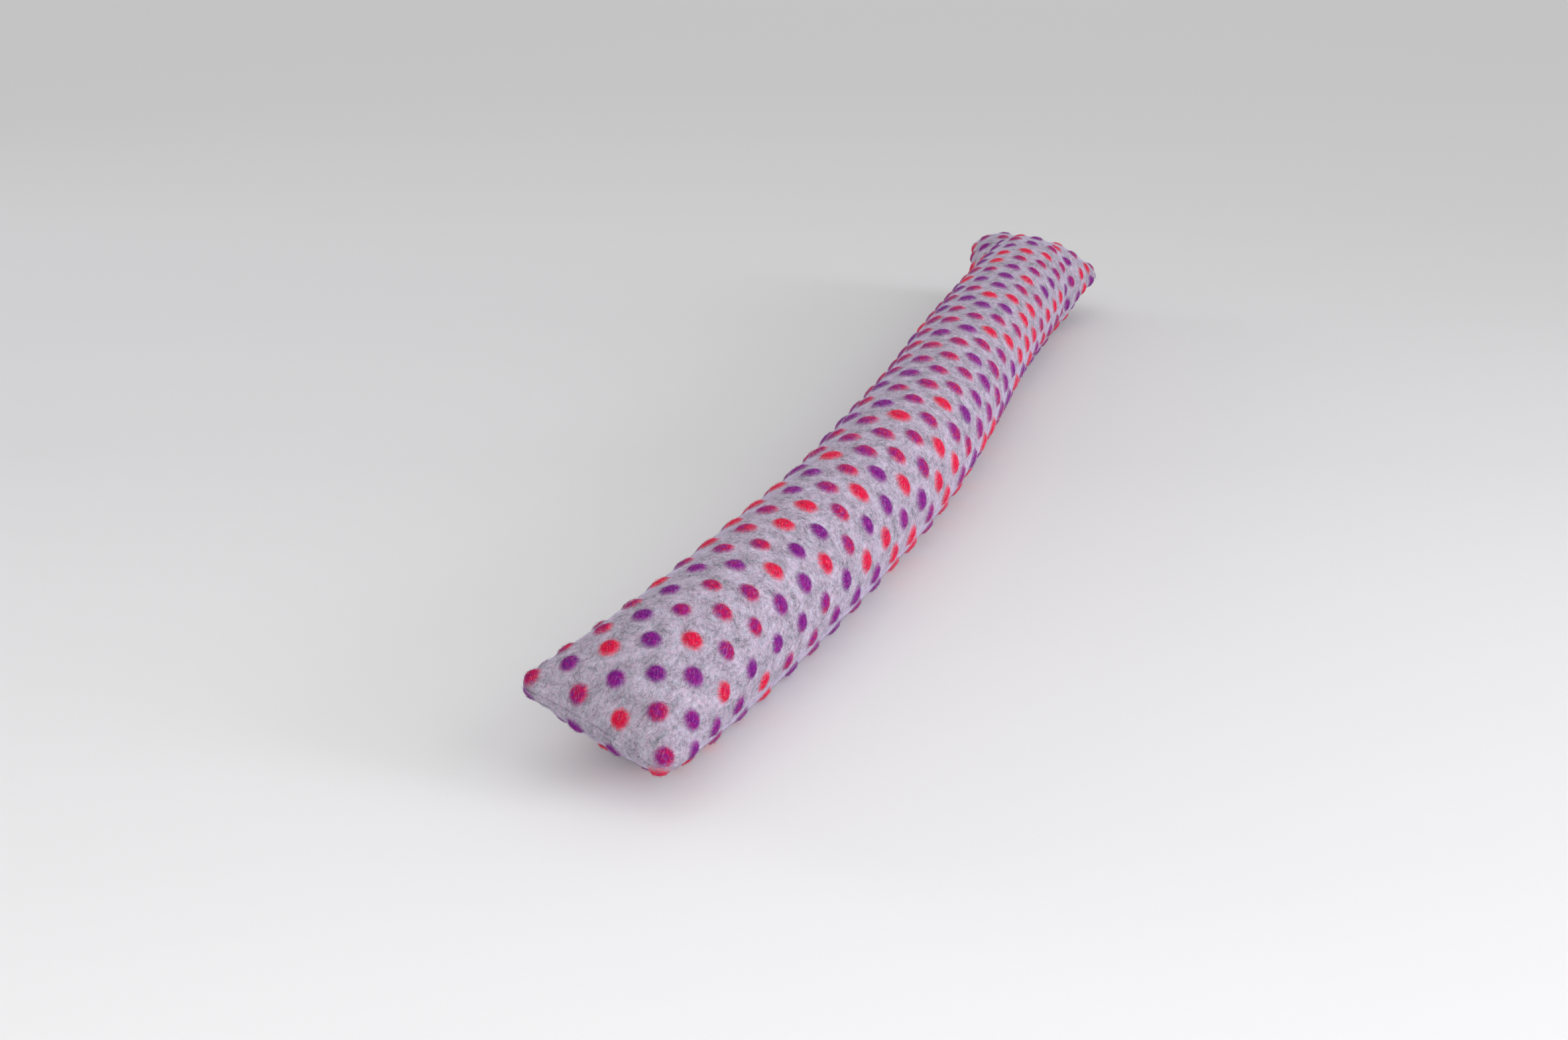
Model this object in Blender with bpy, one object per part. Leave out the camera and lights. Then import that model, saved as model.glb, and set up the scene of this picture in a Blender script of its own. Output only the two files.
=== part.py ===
"""Draught excluder: one long stuffed tube of felt cloth with raised dots.

The tube lies on a flat surface at z = 0 with its length along X, near end at -X.
A tube of cloth is laid flat at both ends and sewn straight across, so its section
goes from round in the middle to a flat seam at each end. All sizes are in metres.
"""
import math

import bmesh
import bpy
import numpy as np

# the cloth tube
ROWS = 16                       # rows of dots around the girth
COLUMNS = 2 * ROWS              # steps of the cloth grid around
PITCHES = 31                    # spaces between the dots of one row
RINGS = 4 * PITCHES + 2         # steps of the cloth grid along, from seam to seam
STRETCH = 0.15                  # part by which steps are longer halfway and shorter at the seams
RADIUS = 0.0402                 # of the round part
SWELL = 0.025                   # part by which it is thicker at the middle
TAPER = 0.10                    # part by which the far end is fuller than the near end
WAVES = ((0.010, 17.0, 1.0), (0.009, 31.0, 2.3))    # uneven filling along: part, rate, start
DENTS = ((0.008, 2, 9.0, 0.0), (0.006, 3, -23.0, 1.1))  # and around: part, times, twist, start
LENGTH = 0.902                  # seam to seam along the middle line
BEND = math.radians(13.9)       # turn of the middle line from end to end, if it were even
BEND_UNEVEN = -2.22             # below zero, the near half bends more
BEND_ENDS = 2.57                # above zero, the ends bend more than the middle
SWAY = 0.0018                   # small sideways waver of the middle line
SWAY_RATE = 14.0
SWAY_START = 0.6

# how it lies
AXIS_HEIGHT = 0.0348            # middle line above the surface
CONTACT_BAND = 0.002            # depth over which the underside turns flat

# the sewn ends
CLOSING = 0.100                 # length over which the tube closes to the seam
CLOSING_POWER = 0.60            # roundness of the closing profile
SEAM_HALF = 0.0022              # half the thickness of the seam
NEAR_WIDEN = 0.005              # seam reaches this much past the round part, each side
FAR_WIDEN = 0.017
NEAR_FLARE = 2.57               # the larger, the closer to the seam it widens
FAR_FLARE = 1.2
SEAM_DIP = 0.005                # middle of the seam is drawn in
CORNER_PART = 0.25              # outer part of the seam's half width that is rounded
NEAR_CORNER = 0.0135            # rounding of the seam's corners
FAR_CORNER = 0.0209
CORNER_COLUMN = 10              # cloth column at the right corner of both seams
FLAT_POWER = 1.35               # how soon the columns spread evenly where the tube flattens
CORNER_POWER = 6                # the larger, the fewer columns stay crowded at the corners
NEAR_HEIGHT = 0.036             # middle of the near seam above the surface
FAR_HEIGHT = 0.045
NEAR_ROLL = math.radians(12.9)  # right corner of the seam turned down
FAR_ROLL = math.radians(11.4)

# the dots
DOT_RADIUS = 0.0061             # foot of a dot on the cloth
TOP_RADIUS = 0.0051
DOT_HEIGHT = 0.0019
DOT_STRETCH = 0.08              # part by which dots are larger halfway and smaller at the seams
DOT_SIDES = 6
DOT_FLOOR_GAP = 0.0045          # a dot lower than this lies pressed flat


def middle_line(s):
    """Plan position and heading of the middle line at distance s along it."""
    steps = np.linspace(-0.02, LENGTH + 0.02, 521)
    u = steps / LENGTH - 0.5
    heading = BEND * (u + BEND_UNEVEN * (u * u - 1.0 / 12.0) + BEND_ENDS * (u ** 3 - 0.15 * u))
    heading = heading + SWAY * SWAY_RATE * np.sin(steps * SWAY_RATE + SWAY_START)
    gap = steps[1] - steps[0]
    x = np.concatenate([[0.0], np.cumsum(0.5 * (np.cos(heading[1:]) + np.cos(heading[:-1])) * gap)])
    y = np.concatenate([[0.0], np.cumsum(0.5 * (np.sin(heading[1:]) + np.sin(heading[:-1])) * gap)])
    return np.interp(s, steps, x), np.interp(s, steps, y), np.interp(s, steps, heading)


def settle(z):
    """Flatten what would lie below the surface, with a smooth turn into the flat."""
    b = CONTACT_BAND
    turn = (z + b) ** 2 / (4.0 * b)
    return np.where(z < -b, 0.0, np.where(z > b, z, turn))


def seam_roll(s):
    """Turn of the cloth about the middle line, from one seam to the other."""
    u = np.clip(s / LENGTH, 0.0, 1.0)
    blend = u * u * (3.0 - 2.0 * u)
    return NEAR_ROLL + (FAR_ROLL - NEAR_ROLL) * blend


def cloth_point(s, column):
    """Point of the cloth at distance s along the tube and a column of its grid."""
    near = s < 0.5 * LENGTH
    to_seam = np.clip(np.where(near, s, LENGTH - s), 0.0, None)
    q = np.clip(1.0 - to_seam / CLOSING, 0.0, 1.0)
    roll = seam_roll(s)
    a = (column - CORNER_COLUMN) * 2.0 * math.pi / COLUMNS + 0.5 * math.pi
    a = np.arctan2(np.sin(a), np.cos(a))
    phi = a + roll

    u = np.clip(s / LENGTH, 0.0, 1.0)
    lump = SWELL * np.sin(math.pi * u) + TAPER * (u - 0.5)
    for size, rate, start in WAVES:
        lump = lump + size * np.sin(s * rate + start)
    for size, times, twist, start in DENTS:
        lump = lump + size * np.sin(times * phi + s * twist + start)
    r = RADIUS * (1.0 + lump * (1.0 - q * q))
    half = SEAM_HALF + (r - SEAM_HALF) * (1.0 - q ** 2) ** CLOSING_POWER
    wide = r + np.where(near, NEAR_WIDEN * q ** NEAR_FLARE, FAR_WIDEN * q ** FAR_FLARE)
    flat = (1.0 - (half / wide) ** FLAT_POWER) * (1.0 - np.sin(a) ** CORNER_POWER)
    across = (1.0 - flat) * np.sin(a) + flat * np.arcsin(np.sin(a)) * 2.0 / math.pi
    rise = half * np.sign(np.cos(a)) * np.sqrt(np.clip(1.0 - across * across, 0.0, 1.0))
    right = wide * across * np.cos(roll) + rise * np.sin(roll)
    up = rise * np.cos(roll) - wide * across * np.sin(roll)

    corner = np.clip((np.abs(across) - 1.0 + CORNER_PART) / CORNER_PART, 0.0, 1.0)
    rounding = np.where(near, NEAR_CORNER, FAR_CORNER) * (1.0 - np.sqrt(1.0 - corner * corner))
    draw_in = SEAM_DIP * (1.0 - across * across) + rounding
    along = s + np.where(near, 1.0, -1.0) * draw_in * q ** 2

    seam_height = np.where(near, NEAR_HEIGHT, FAR_HEIGHT)
    centre = AXIS_HEIGHT + (seam_height - AXIS_HEIGHT) * q ** 1.5
    x, y, heading = middle_line(along)
    z = settle(centre + up)
    return np.stack([x + right * np.sin(heading), y - right * np.cos(heading), z], -1)


def stretch(ring, amount):
    """Factor at a ring, one on average over the tube."""
    return 1.0 - amount * math.cos(2.0 * math.pi * ring / RINGS)


def ring_places():
    """Distances along the tube of the grid's rings, spaced over the cloth by the stretch."""
    fine = np.linspace(0.0, 1.0, 1601)
    fine = LENGTH * (fine - 0.93 * np.sin(2.0 * math.pi * fine) / (2.0 * math.pi))
    total = np.zeros(len(fine))
    for column in range(COLUMNS):
        p = cloth_point(fine, np.full(len(fine), float(column)))
        step = np.linalg.norm(np.diff(p, axis=0), axis=1)
        total = total + np.concatenate([[0.0], np.cumsum(step)]) / COLUMNS
    part = np.linspace(0.0, 1.0, RINGS + 1)
    part = part - STRETCH * np.sin(2.0 * math.pi * part) / (2.0 * math.pi)
    return np.interp(part * total[-1], total, fine), total[-1]


PLACES, CLOTH_LENGTH = ring_places()
RING_STEP = CLOTH_LENGTH / RINGS
COLUMN_STEP = 2.0 * math.pi * RADIUS / COLUMNS


def grid_point(ring, column, height=0.0):
    """Point at a place of the cloth grid, raised by a height over the cloth."""
    ring = np.array([ring], dtype=float)
    column = np.array([column], dtype=float)

    def at(r, c):
        return cloth_point(np.interp(r, np.arange(RINGS + 1), PLACES), c)[0]

    p = at(ring, column)
    if height == 0.0:
        return p
    along = at(ring + 0.3, column) - at(ring - 0.3, column)
    around = at(ring, column + 0.3) - at(ring, column - 0.3)
    normal = np.cross(around, along)
    return p + height * normal / np.linalg.norm(normal)


class ClothMesh:
    """Builds the tube cell by cell; each cell of the grid carries one dot."""

    def __init__(self):
        self.bm = bmesh.new()
        self.corners = {}

    def corner(self, ring, column):
        key = (ring, column % COLUMNS)
        if key not in self.corners:
            self.corners[key] = self.bm.verts.new(grid_point(*key))
        return self.corners[key]

    def face(self, *verts):
        kept = []
        for vert in verts:
            if vert not in kept:
                kept.append(vert)
        self.bm.faces.new(kept)

    def dot_ring(self, ring, column, radius, height):
        """Corners of a dot, at one radius and height."""
        radius = radius * stretch(ring, DOT_STRETCH)
        ring_step = RING_STEP * stretch(ring, STRETCH)
        verts = []
        for k in range(DOT_SIDES):
            angle = 2.0 * math.pi * k / DOT_SIDES
            to_ring = radius * math.cos(angle) / ring_step
            to_column = radius * math.sin(angle) / COLUMN_STEP
            verts.append(self.bm.verts.new(grid_point(ring + to_ring, column + to_column, height)))
        return verts

    def join(self, outer, inner):
        """Triangles between two loops that start at the same angle."""
        i = 0
        j = 0
        while i < len(outer) or j < len(inner):
            here = outer[i % len(outer)]
            there = inner[j % len(inner)]
            if (i + 1) / len(outer) <= (j + 1) / len(inner) and i < len(outer):
                i += 1
                self.face(here, outer[i % len(outer)], there)
            else:
                j += 1
                self.face(here, inner[j % len(inner)], there)

    def cell_corners(self, ring, column):
        """Four corners of a cell; one that the seam would cut off is three on the seam."""
        corners = []
        for to_ring, to_column in ((2, 0), (0, 2), (-2, 0), (0, -2)):
            if 0 <= ring + to_ring <= RINGS:
                corners.append(self.corner(ring + to_ring, column + to_column))
            else:
                seam = 0 if to_ring < 0 else RINGS
                turn = 1 if to_ring < 0 else -1
                corners.extend(self.corner(seam, column + k * turn) for k in (1, 0, -1))
        return corners

    def dot_cell(self, ring, column):
        """Cell of the cloth with a raised dot in its middle."""
        cell = self.cell_corners(ring, column)
        if grid_point(ring, column)[2] < DOT_FLOOR_GAP:
            middle = self.bm.verts.new(grid_point(ring, column))
            for k in range(len(cell)):
                self.face(cell[k], cell[(k + 1) % len(cell)], middle)
            return
        foot = self.dot_ring(ring, column, DOT_RADIUS, 0.0)
        top = self.dot_ring(ring, column, TOP_RADIUS, DOT_HEIGHT)
        self.join(cell, foot)
        for k in range(DOT_SIDES):
            after = (k + 1) % DOT_SIDES
            self.face(foot[k], foot[after], top[after], top[k])
        self.face(*top)

    def seam_cell(self, ring, column, inner):
        """What the seam leaves of a cell whose middle lies past it."""
        tip = self.corner(inner, column)
        for k in (-1, 0):
            self.face(self.corner(ring, column + k), self.corner(ring, column + k + 1), tip)

    def seam_edge(self, ring):
        """Narrow edge of the seam, joining its upper and lower cloth."""
        quarter = COLUMNS // 4
        for k in range(2 * quarter):
            high = CORNER_COLUMN - k
            low = CORNER_COLUMN + k
            self.face(self.corner(ring, high), self.corner(ring, high - 1),
                      self.corner(ring, low + 1), self.corner(ring, low))


def make_cover(name, material):
    """Closed solid of the stuffed tube, its box centred on the origin and on z = 0."""
    cloth = ClothMesh()
    for row in range(ROWS):
        column = 2 * row
        for ring in range(1 + 2 * (row % 2), RINGS, 4):
            cloth.dot_cell(ring, column)
        if row % 2 == 1:
            cloth.seam_cell(0, column, 1)
            cloth.seam_cell(RINGS, column, RINGS - 1)
    cloth.seam_edge(0)
    cloth.seam_edge(RINGS)
    bm = cloth.bm
    bmesh.ops.recalc_face_normals(bm, faces=bm.faces)
    if bm.calc_volume(signed=True) < 0.0:
        bmesh.ops.reverse_faces(bm, faces=bm.faces)
    for face in bm.faces:
        face.smooth = True
    points = np.array([vert.co[:] for vert in bm.verts])
    low = points.min(axis=0)
    high = points.max(axis=0)
    for vert in bm.verts:
        vert.co.x -= 0.5 * (low[0] + high[0])
        vert.co.y -= 0.5 * (low[1] + high[1])
        vert.co.z -= low[2]
    mesh = bpy.data.meshes.new(name)
    bm.to_mesh(mesh)
    bm.free()
    mesh.materials.append(material)
    obj = bpy.data.objects.new(name, mesh)
    bpy.context.scene.collection.objects.link(obj)
    return obj


def make_material(name, colour, roughness):
    material = bpy.data.materials.new(name)
    material.use_nodes = True
    shader = material.node_tree.nodes["Principled BSDF"]
    shader.inputs["Base Color"].default_value = (*colour, 1.0)
    shader.inputs["Roughness"].default_value = roughness
    return material


for old in list(bpy.data.objects):
    bpy.data.objects.remove(old, do_unlink=True)

felt = make_material("felt_cloth", (0.36, 0.33, 0.39), 0.95)
make_cover("stuffed_cover", felt)
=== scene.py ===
"""Draught excluder of dotted felt: the fine cloth, its raised dots, its fibres and a plain stage.

The tube lies on z = 0 with its length along X and its near end at -X. All sizes are in metres.
"""
import math

import bpy
import numpy as np
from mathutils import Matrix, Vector, kdtree


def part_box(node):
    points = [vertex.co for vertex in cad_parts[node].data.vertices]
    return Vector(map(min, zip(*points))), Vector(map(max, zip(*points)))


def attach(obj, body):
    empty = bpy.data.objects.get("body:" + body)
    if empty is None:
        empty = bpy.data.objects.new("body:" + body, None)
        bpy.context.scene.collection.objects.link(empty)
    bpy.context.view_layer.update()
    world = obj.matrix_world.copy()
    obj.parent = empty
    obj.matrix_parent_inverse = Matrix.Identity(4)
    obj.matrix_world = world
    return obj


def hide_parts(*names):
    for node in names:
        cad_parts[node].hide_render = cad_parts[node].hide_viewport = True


SEED = 4107

# ---------------------------------------------------------------- the tube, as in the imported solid
ROWS = 16                       # rows of dots around the girth
COLUMNS = 2 * ROWS              # steps of the cloth grid around
PITCHES = 31                    # spaces between the dots of one row
RINGS = 4 * PITCHES + 2         # steps of the cloth grid along, from seam to seam
STRETCH = 0.15                  # part by which steps are longer halfway and shorter at the seams
RADIUS = 0.0402                 # of the round part
SWELL = 0.025                   # part by which it is thicker at the middle
TAPER = 0.10                    # part by which the far end is fuller than the near end
WAVES = ((0.010, 17.0, 1.0), (0.009, 31.0, 2.3))    # uneven filling along: part, rate, start
DENTS = ((0.008, 2, 9.0, 0.0), (0.006, 3, -23.0, 1.1))  # and around: part, times, twist, start
LENGTH = 0.902                  # seam to seam along the middle line
BEND = math.radians(13.9)       # turn of the middle line from end to end, if it were even
BEND_UNEVEN = -2.22             # below zero, the near half bends more
BEND_ENDS = 2.57                # above zero, the ends bend more than the middle
SWAY = 0.0018                   # small sideways waver of the middle line
SWAY_RATE = 14.0
SWAY_START = 0.6
LINE_SPARE = 0.02               # the middle line is worked out this far past both seams
LINE_STEPS = 520
AXIS_HEIGHT = 0.0348            # middle line above the surface
CONTACT_BAND = 0.002            # depth over which the underside turns flat
CLOSING = 0.100                 # length over which the tube closes to the seam
CLOSING_POWER = 0.60            # roundness of the closing profile
SEAM_HALF = 0.0022              # half the thickness of the seam
NEAR_WIDEN = 0.005              # seam reaches this much past the round part, each side
FAR_WIDEN = 0.017
NEAR_FLARE = 2.57               # the larger, the closer to the seam it widens
FAR_FLARE = 1.2
SEAM_DIP = 0.005                # middle of the seam is drawn in
CORNER_PART = 0.25              # outer part of the seam's half width that is rounded
NEAR_CORNER = 0.0135            # rounding of the seam's corners
FAR_CORNER = 0.0209
CORNER_COLUMN = 10              # cloth column at the right corner of both seams
FLAT_POWER = 1.35               # how soon the columns spread evenly where the tube flattens
CORNER_POWER = 6                # the larger, the fewer columns stay crowded at the corners
NEAR_HEIGHT = 0.036             # middle of the near seam above the surface
FAR_HEIGHT = 0.045
NEAR_ROLL = math.radians(12.9)  # right corner of the seam turned down
FAR_ROLL = math.radians(11.4)
GIRTH = 2.0 * math.pi * RADIUS
ARC_STEPS = 1600                # steps by which the length of cloth along the tube is measured
ARC_CROWDING = 0.93             # the nearer to 1, the denser they are at the seams
OFFSET_PASSES = 12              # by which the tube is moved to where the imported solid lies

# ---------------------------------------------------------------- the fine cloth
FINE_RINGS = 640                # steps of the fine mesh along
FINE_COLUMNS = 148              # steps of the fine mesh around
SEAM_STEPS = 6                  # steps across the edge of a seam
SEAM_BULGE = 0.0011             # rolled edges of cloth on both sides of the seam line
UNEVEN_HEIGHT = 0.00016         # soft lumps of the cloth
UNEVEN_SIZES = (0.014, 0.006)   # of the lumps; the small ones are half as high
PUCKER_HEIGHT = 0.0004          # little folds that start at the seams
PUCKER_COUNT = 21.0             # of them around
PUCKER_RISE = 0.004             # length over which they start
PUCKER_REACH = 0.020
PUCKER_WANDER = 1.8             # how far they wander sideways, as a phase
PUCKER_WANDER_SIZE = 0.03
PUCKER_VARY = 0.4               # part by which their heights differ
PUCKER_VARY_SIZE = 0.05
# valleys that part the far seam's corners from the tube: side (-1 left, 1 right), where it leaves
# the seam (its own corner at 0, the other at 1), where it meets its side as a distance from the
# seam, half its width, depth, distance over which it deepens, how far the corner beyond stands up
CREASES = ((-1, 0.56, 0.105, 0.0115, 0.0028, 0.015, 0.0024),
           (1, 0.74, 0.108, 0.0085, 0.0026, 0.070, 0.0012))
PUFF_PLACE = 2.6                # half widths from the valley to the cloth that stands up
PUFF_WIDTH = 1.5                # times as wide as the valley

# ---------------------------------------------------------------- the dots
DOT_EDGE = 0.0058               # radius at which a dot's colour ends
DOT_FOOT = 0.0065               # radius at which its slope meets the cloth
DOT_SHOULDER = 0.0037           # radius at which its slope begins
DOT_HEIGHT = 0.0019
DOT_DOME = 0.18                 # part of the height by which its top is domed
DOT_STRETCH = 0.16              # part by which dots are larger halfway and smaller at the seams
DOT_TAPER = 0.06                # larger by this part at the far seam, smaller at the near one
DOT_SIZES = 0.06                # how much the dots' sizes differ otherwise
DOT_WAVES = ((2.0, 0.030), (3.0, 0.030), (5.0, 0.020))  # uneven outline: bumps, part of the size
DOT_JITTER = 0.0005             # how far they lie off their grid
DOT_WINDOW = (2.0, 2.2)         # steps of the solid's grid along and around a dot stays in
NO_DOT = -0.02                  # distance inside a dot that is noted where there is none
RED_SHARE = 0.27
PURPLE_SHARE = 0.33
RED_TINTS = (0.93, 0.05)        # place among the dyes from purple at 0 to red at 1, and its spread
CRIMSON_TINTS = (0.50, 0.10)
PURPLE_TINTS = (0.10, 0.08)
CRIMSON_DYE_AND_SHADE_LEAN = 0.20             # a crimson dot is redder on one side and purpler on the other: partly two-tone dye, partly painted shade
# side of a crimson dot that is purpler, partly two-tone dye, partly painted shade
CRIMSON_DYE_AND_SHADE_SIDE = 1.25 * math.pi

# ---------------------------------------------------------------- loose fibres
CLOTH_FIBRES = 32000
CLOTH_FIBRE_LENGTH = 0.0026
CLOTH_FIBRE_SPREAD = 0.35       # of the lengths
CLOTH_FIBRE_LIFT = (0.0002, 0.0007)
CLOTH_FIBRE_INSIDE = 0.0002     # how far inside a dot's edge they may start
DOT_FIBRES = 32000
DOT_FIBRE_LENGTH = 0.0022
DOT_FIBRE_SPREAD = 0.30
DOT_FIBRE_LIFT = (0.0002, 0.0006)
DOT_FIBRE_TINTS = 0.06          # how much their tints differ from their dot's
DOT_FIBRE_OUTWARD = 0.4         # below 0.5 they stand closer together towards the dot's edge
DOT_FIBRE_REACH = 0.97          # part of the dot past which none starts
FIBRE_RADIUS = 0.00005
FIBRE_ROOT = 0.0002             # depth at which fibres start
FIBRE_BOW = 0.0004
FIBRE_LONGEST = 1.9             # times the usual length
FIBRE_TIPS = (-0.3, 1.5)        # heights of their tips, as parts of the middle's height
FLOOR_CLEAR = 0.0035            # no fibre starts lower than this
FIBRE_FLOOR = 0.0005            # and none reaches lower than this

# ---------------------------------------------------------------- camera, for 2365 x 1568 pixels
FRAME_WIDTH = 2365
FOCAL_PIXELS = 2500.0
SENSOR_MM = 36.0
CAMERA_PLACE = (-1.0237, -0.3078, 0.4151)
CAMERA_DOWN = math.radians(23.0)
CAMERA_HEADING = math.radians(20.95)

# ---------------------------------------------------------------- stage and lights
FLOOR_REACH = 9.0
# grey of the floor, from near the camera at 0 to far away at 1
FLOOR_GREYS = ((0.0, 250), (0.04, 240), (0.095, 230), (0.16, 220), (0.25, 217), (0.45, 225),
               (0.7, 229), (1.0, 233))
FLOOR_RATE = 0.25               # of that fade for each metre
FLOOR_START = 0.15              # where it is at the middle of the part
FLOOR_UNEVEN = 0.01
WORLD_LIGHT = 0.65
WHITE = (1.0, 1.0, 1.0)
WARM_WHITE = (1.0, 0.99, 1.0)
LILAC_WHITE = (0.92, 0.88, 1.0)
LOW_SPREAD = 0.9                # angle over which the low lights shine
LIGHTS = (                      # name, place, aim, size, power, colour, spread
    ("key_light", (-0.4, -2.2, 1.6), (-0.3, 0.0, 0.0), 1.8, 12.0, WARM_WHITE, math.pi),
    ("top_light", (-0.5, 0.4, 2.6), (-0.2, 0.0, 0.0), 2.6, 5.0, WHITE, math.pi),
    ("front_light", (-2.4, -1.0, 1.2), (-0.2, 0.0, 0.0), 1.6, 9.0, WHITE, math.pi),
    ("low_right_light", (0.1, -2.6, 0.75), (-0.1, 0.0, 0.04), 1.0, 2.8, LILAC_WHITE, LOW_SPREAD),
    ("low_left_light", (0.1, 2.6, 0.75), (0.0, 0.0, 0.04), 1.0, 1.0, LILAC_WHITE, LOW_SPREAD))


# ================================================================ shape
def middle_line(s):
    """Plan position and heading of the middle line at distance s along it."""
    steps = np.linspace(-LINE_SPARE, LENGTH + LINE_SPARE, LINE_STEPS + 1)
    u = steps / LENGTH - 0.5
    heading = BEND * (u + BEND_UNEVEN * (u * u - 1.0 / 12.0) + BEND_ENDS * (u ** 3 - 0.15 * u))
    heading = heading + SWAY * SWAY_RATE * np.sin(steps * SWAY_RATE + SWAY_START)
    gap = steps[1] - steps[0]
    x = np.concatenate([[0.0], np.cumsum(0.5 * (np.cos(heading[1:]) + np.cos(heading[:-1])) * gap)])
    y = np.concatenate([[0.0], np.cumsum(0.5 * (np.sin(heading[1:]) + np.sin(heading[:-1])) * gap)])
    return np.interp(s, steps, x), np.interp(s, steps, y), np.interp(s, steps, heading)


def settle(z):
    """Flatten what would lie below the surface, with a smooth turn into the flat."""
    b = CONTACT_BAND
    turn = (z + b) ** 2 / (4.0 * b)
    return np.where(z < -b, 0.0, np.where(z > b, z, turn))


def seam_roll(s):
    """Turn of the cloth about the middle line, from one seam to the other."""
    u = np.clip(s / LENGTH, 0.0, 1.0)
    blend = u * u * (3.0 - 2.0 * u)
    return NEAR_ROLL + (FAR_ROLL - NEAR_ROLL) * blend


def cloth_point(s, column):
    """Point of the cloth before it settles on the surface, at a distance s and a column."""
    near = s < 0.5 * LENGTH
    to_seam = np.clip(np.where(near, s, LENGTH - s), 0.0, None)
    q = np.clip(1.0 - to_seam / CLOSING, 0.0, 1.0)
    roll = seam_roll(s)
    a = (column - CORNER_COLUMN) * 2.0 * math.pi / COLUMNS + 0.5 * math.pi
    a = np.arctan2(np.sin(a), np.cos(a))
    phi = a + roll

    u = np.clip(s / LENGTH, 0.0, 1.0)
    lump = SWELL * np.sin(math.pi * u) + TAPER * (u - 0.5)
    for size, rate, start in WAVES:
        lump = lump + size * np.sin(s * rate + start)
    for size, times, twist, start in DENTS:
        lump = lump + size * np.sin(times * phi + s * twist + start)
    r = RADIUS * (1.0 + lump * (1.0 - q * q))
    half = SEAM_HALF + (r - SEAM_HALF) * (1.0 - q ** 2) ** CLOSING_POWER
    wide = r + np.where(near, NEAR_WIDEN * q ** NEAR_FLARE, FAR_WIDEN * q ** FAR_FLARE)
    flat = (1.0 - (half / wide) ** FLAT_POWER) * (1.0 - np.sin(a) ** CORNER_POWER)
    across = (1.0 - flat) * np.sin(a) + flat * np.arcsin(np.sin(a)) * 2.0 / math.pi
    rise = half * np.sign(np.cos(a)) * np.sqrt(np.clip(1.0 - across * across, 0.0, 1.0))
    right = wide * across * np.cos(roll) + rise * np.sin(roll)
    up = rise * np.cos(roll) - wide * across * np.sin(roll)

    corner = np.clip((np.abs(across) - 1.0 + CORNER_PART) / CORNER_PART, 0.0, 1.0)
    rounding = np.where(near, NEAR_CORNER, FAR_CORNER) * (1.0 - np.sqrt(1.0 - corner * corner))
    draw_in = SEAM_DIP * (1.0 - across * across) + rounding
    along = s + np.where(near, 1.0, -1.0) * draw_in * q ** 2

    seam_height = np.where(near, NEAR_HEIGHT, FAR_HEIGHT)
    centre = AXIS_HEIGHT + (seam_height - AXIS_HEIGHT) * q ** 1.5
    x, y, heading = middle_line(along)
    return np.stack([x + right * np.sin(heading), y - right * np.cos(heading), centre + up], -1)


def arc_table():
    """Distances along the tube, and the mean length of cloth up to each of them."""
    fine = np.linspace(0.0, 1.0, ARC_STEPS + 1)
    fine = LENGTH * (fine - ARC_CROWDING * np.sin(2.0 * math.pi * fine) / (2.0 * math.pi))
    total = np.zeros(len(fine))
    for column in range(COLUMNS):
        p = cloth_point(fine, np.full(len(fine), float(column)))
        p[:, 2] = settle(p[:, 2])
        step = np.linalg.norm(np.diff(p, axis=0), axis=1)
        total = total + np.concatenate([[0.0], np.cumsum(step)]) / COLUMNS
    return fine, total


def ring_part(ring):
    """Part of the cloth's length at which a ring of the solid's grid lies."""
    part = np.asarray(ring, float) / RINGS
    return part - STRETCH * np.sin(2.0 * math.pi * part) / (2.0 * math.pi)


def unit(v):
    return v / np.maximum(np.linalg.norm(v, axis=-1, keepdims=True), 1e-12)


def soft_noise(points, size, seed):
    """Smooth random value from -1 to 1 at each point, with lumps of about one size."""
    lattice = np.random.default_rng(seed).uniform(-1.0, 1.0, (32, 32, 32))
    q = points / size
    cell = np.floor(q).astype(int)
    f = q - cell
    f = f * f * (3.0 - 2.0 * f)
    total = np.zeros(points.shape[:-1])
    for corner in range(8):
        bits = np.array([corner & 1, (corner >> 1) & 1, (corner >> 2) & 1])
        weight = np.prod(np.where(bits == 1, f, 1.0 - f), axis=-1)
        at = (cell + bits) % 32
        total = total + weight * lattice[at[..., 0], at[..., 1], at[..., 2]]
    return total


def solid_offset(node):
    """How far this file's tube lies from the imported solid, whose grid corners it shares.

    The boxes' middles are set on each other first. Then each pass moves the tube by the median
    distance from some of its grid corners to the solid's nearest ones.
    """
    tree = kdtree.KDTree(len(node.data.vertices))
    for vert in node.data.vertices:
        tree.insert(vert.co, vert.index)
    tree.balance()
    low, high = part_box(node.name)
    fine, total = arc_table()
    rings = np.repeat(np.arange(3.0, RINGS, 4.0), COLUMNS // 4)
    columns = np.tile(np.arange(0.0, COLUMNS, 4.0), PITCHES)
    s = np.interp(ring_part(rings) * total[-1], total, fine)
    points = cloth_point(s, columns)
    points[:, 2] = settle(points[:, 2])
    offset = 0.5 * np.array([low.x + high.x, low.y + high.y, 0.0])
    offset = offset - 0.5 * (points.min(axis=0) + points.max(axis=0)) * np.array([1.0, 1.0, 0.0])
    for _ in range(OFFSET_PASSES):
        near = np.array([tree.find(Vector(p + offset))[0][:] for p in points])
        offset = offset + np.median(near - (points + offset), axis=0)
    return offset


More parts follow.
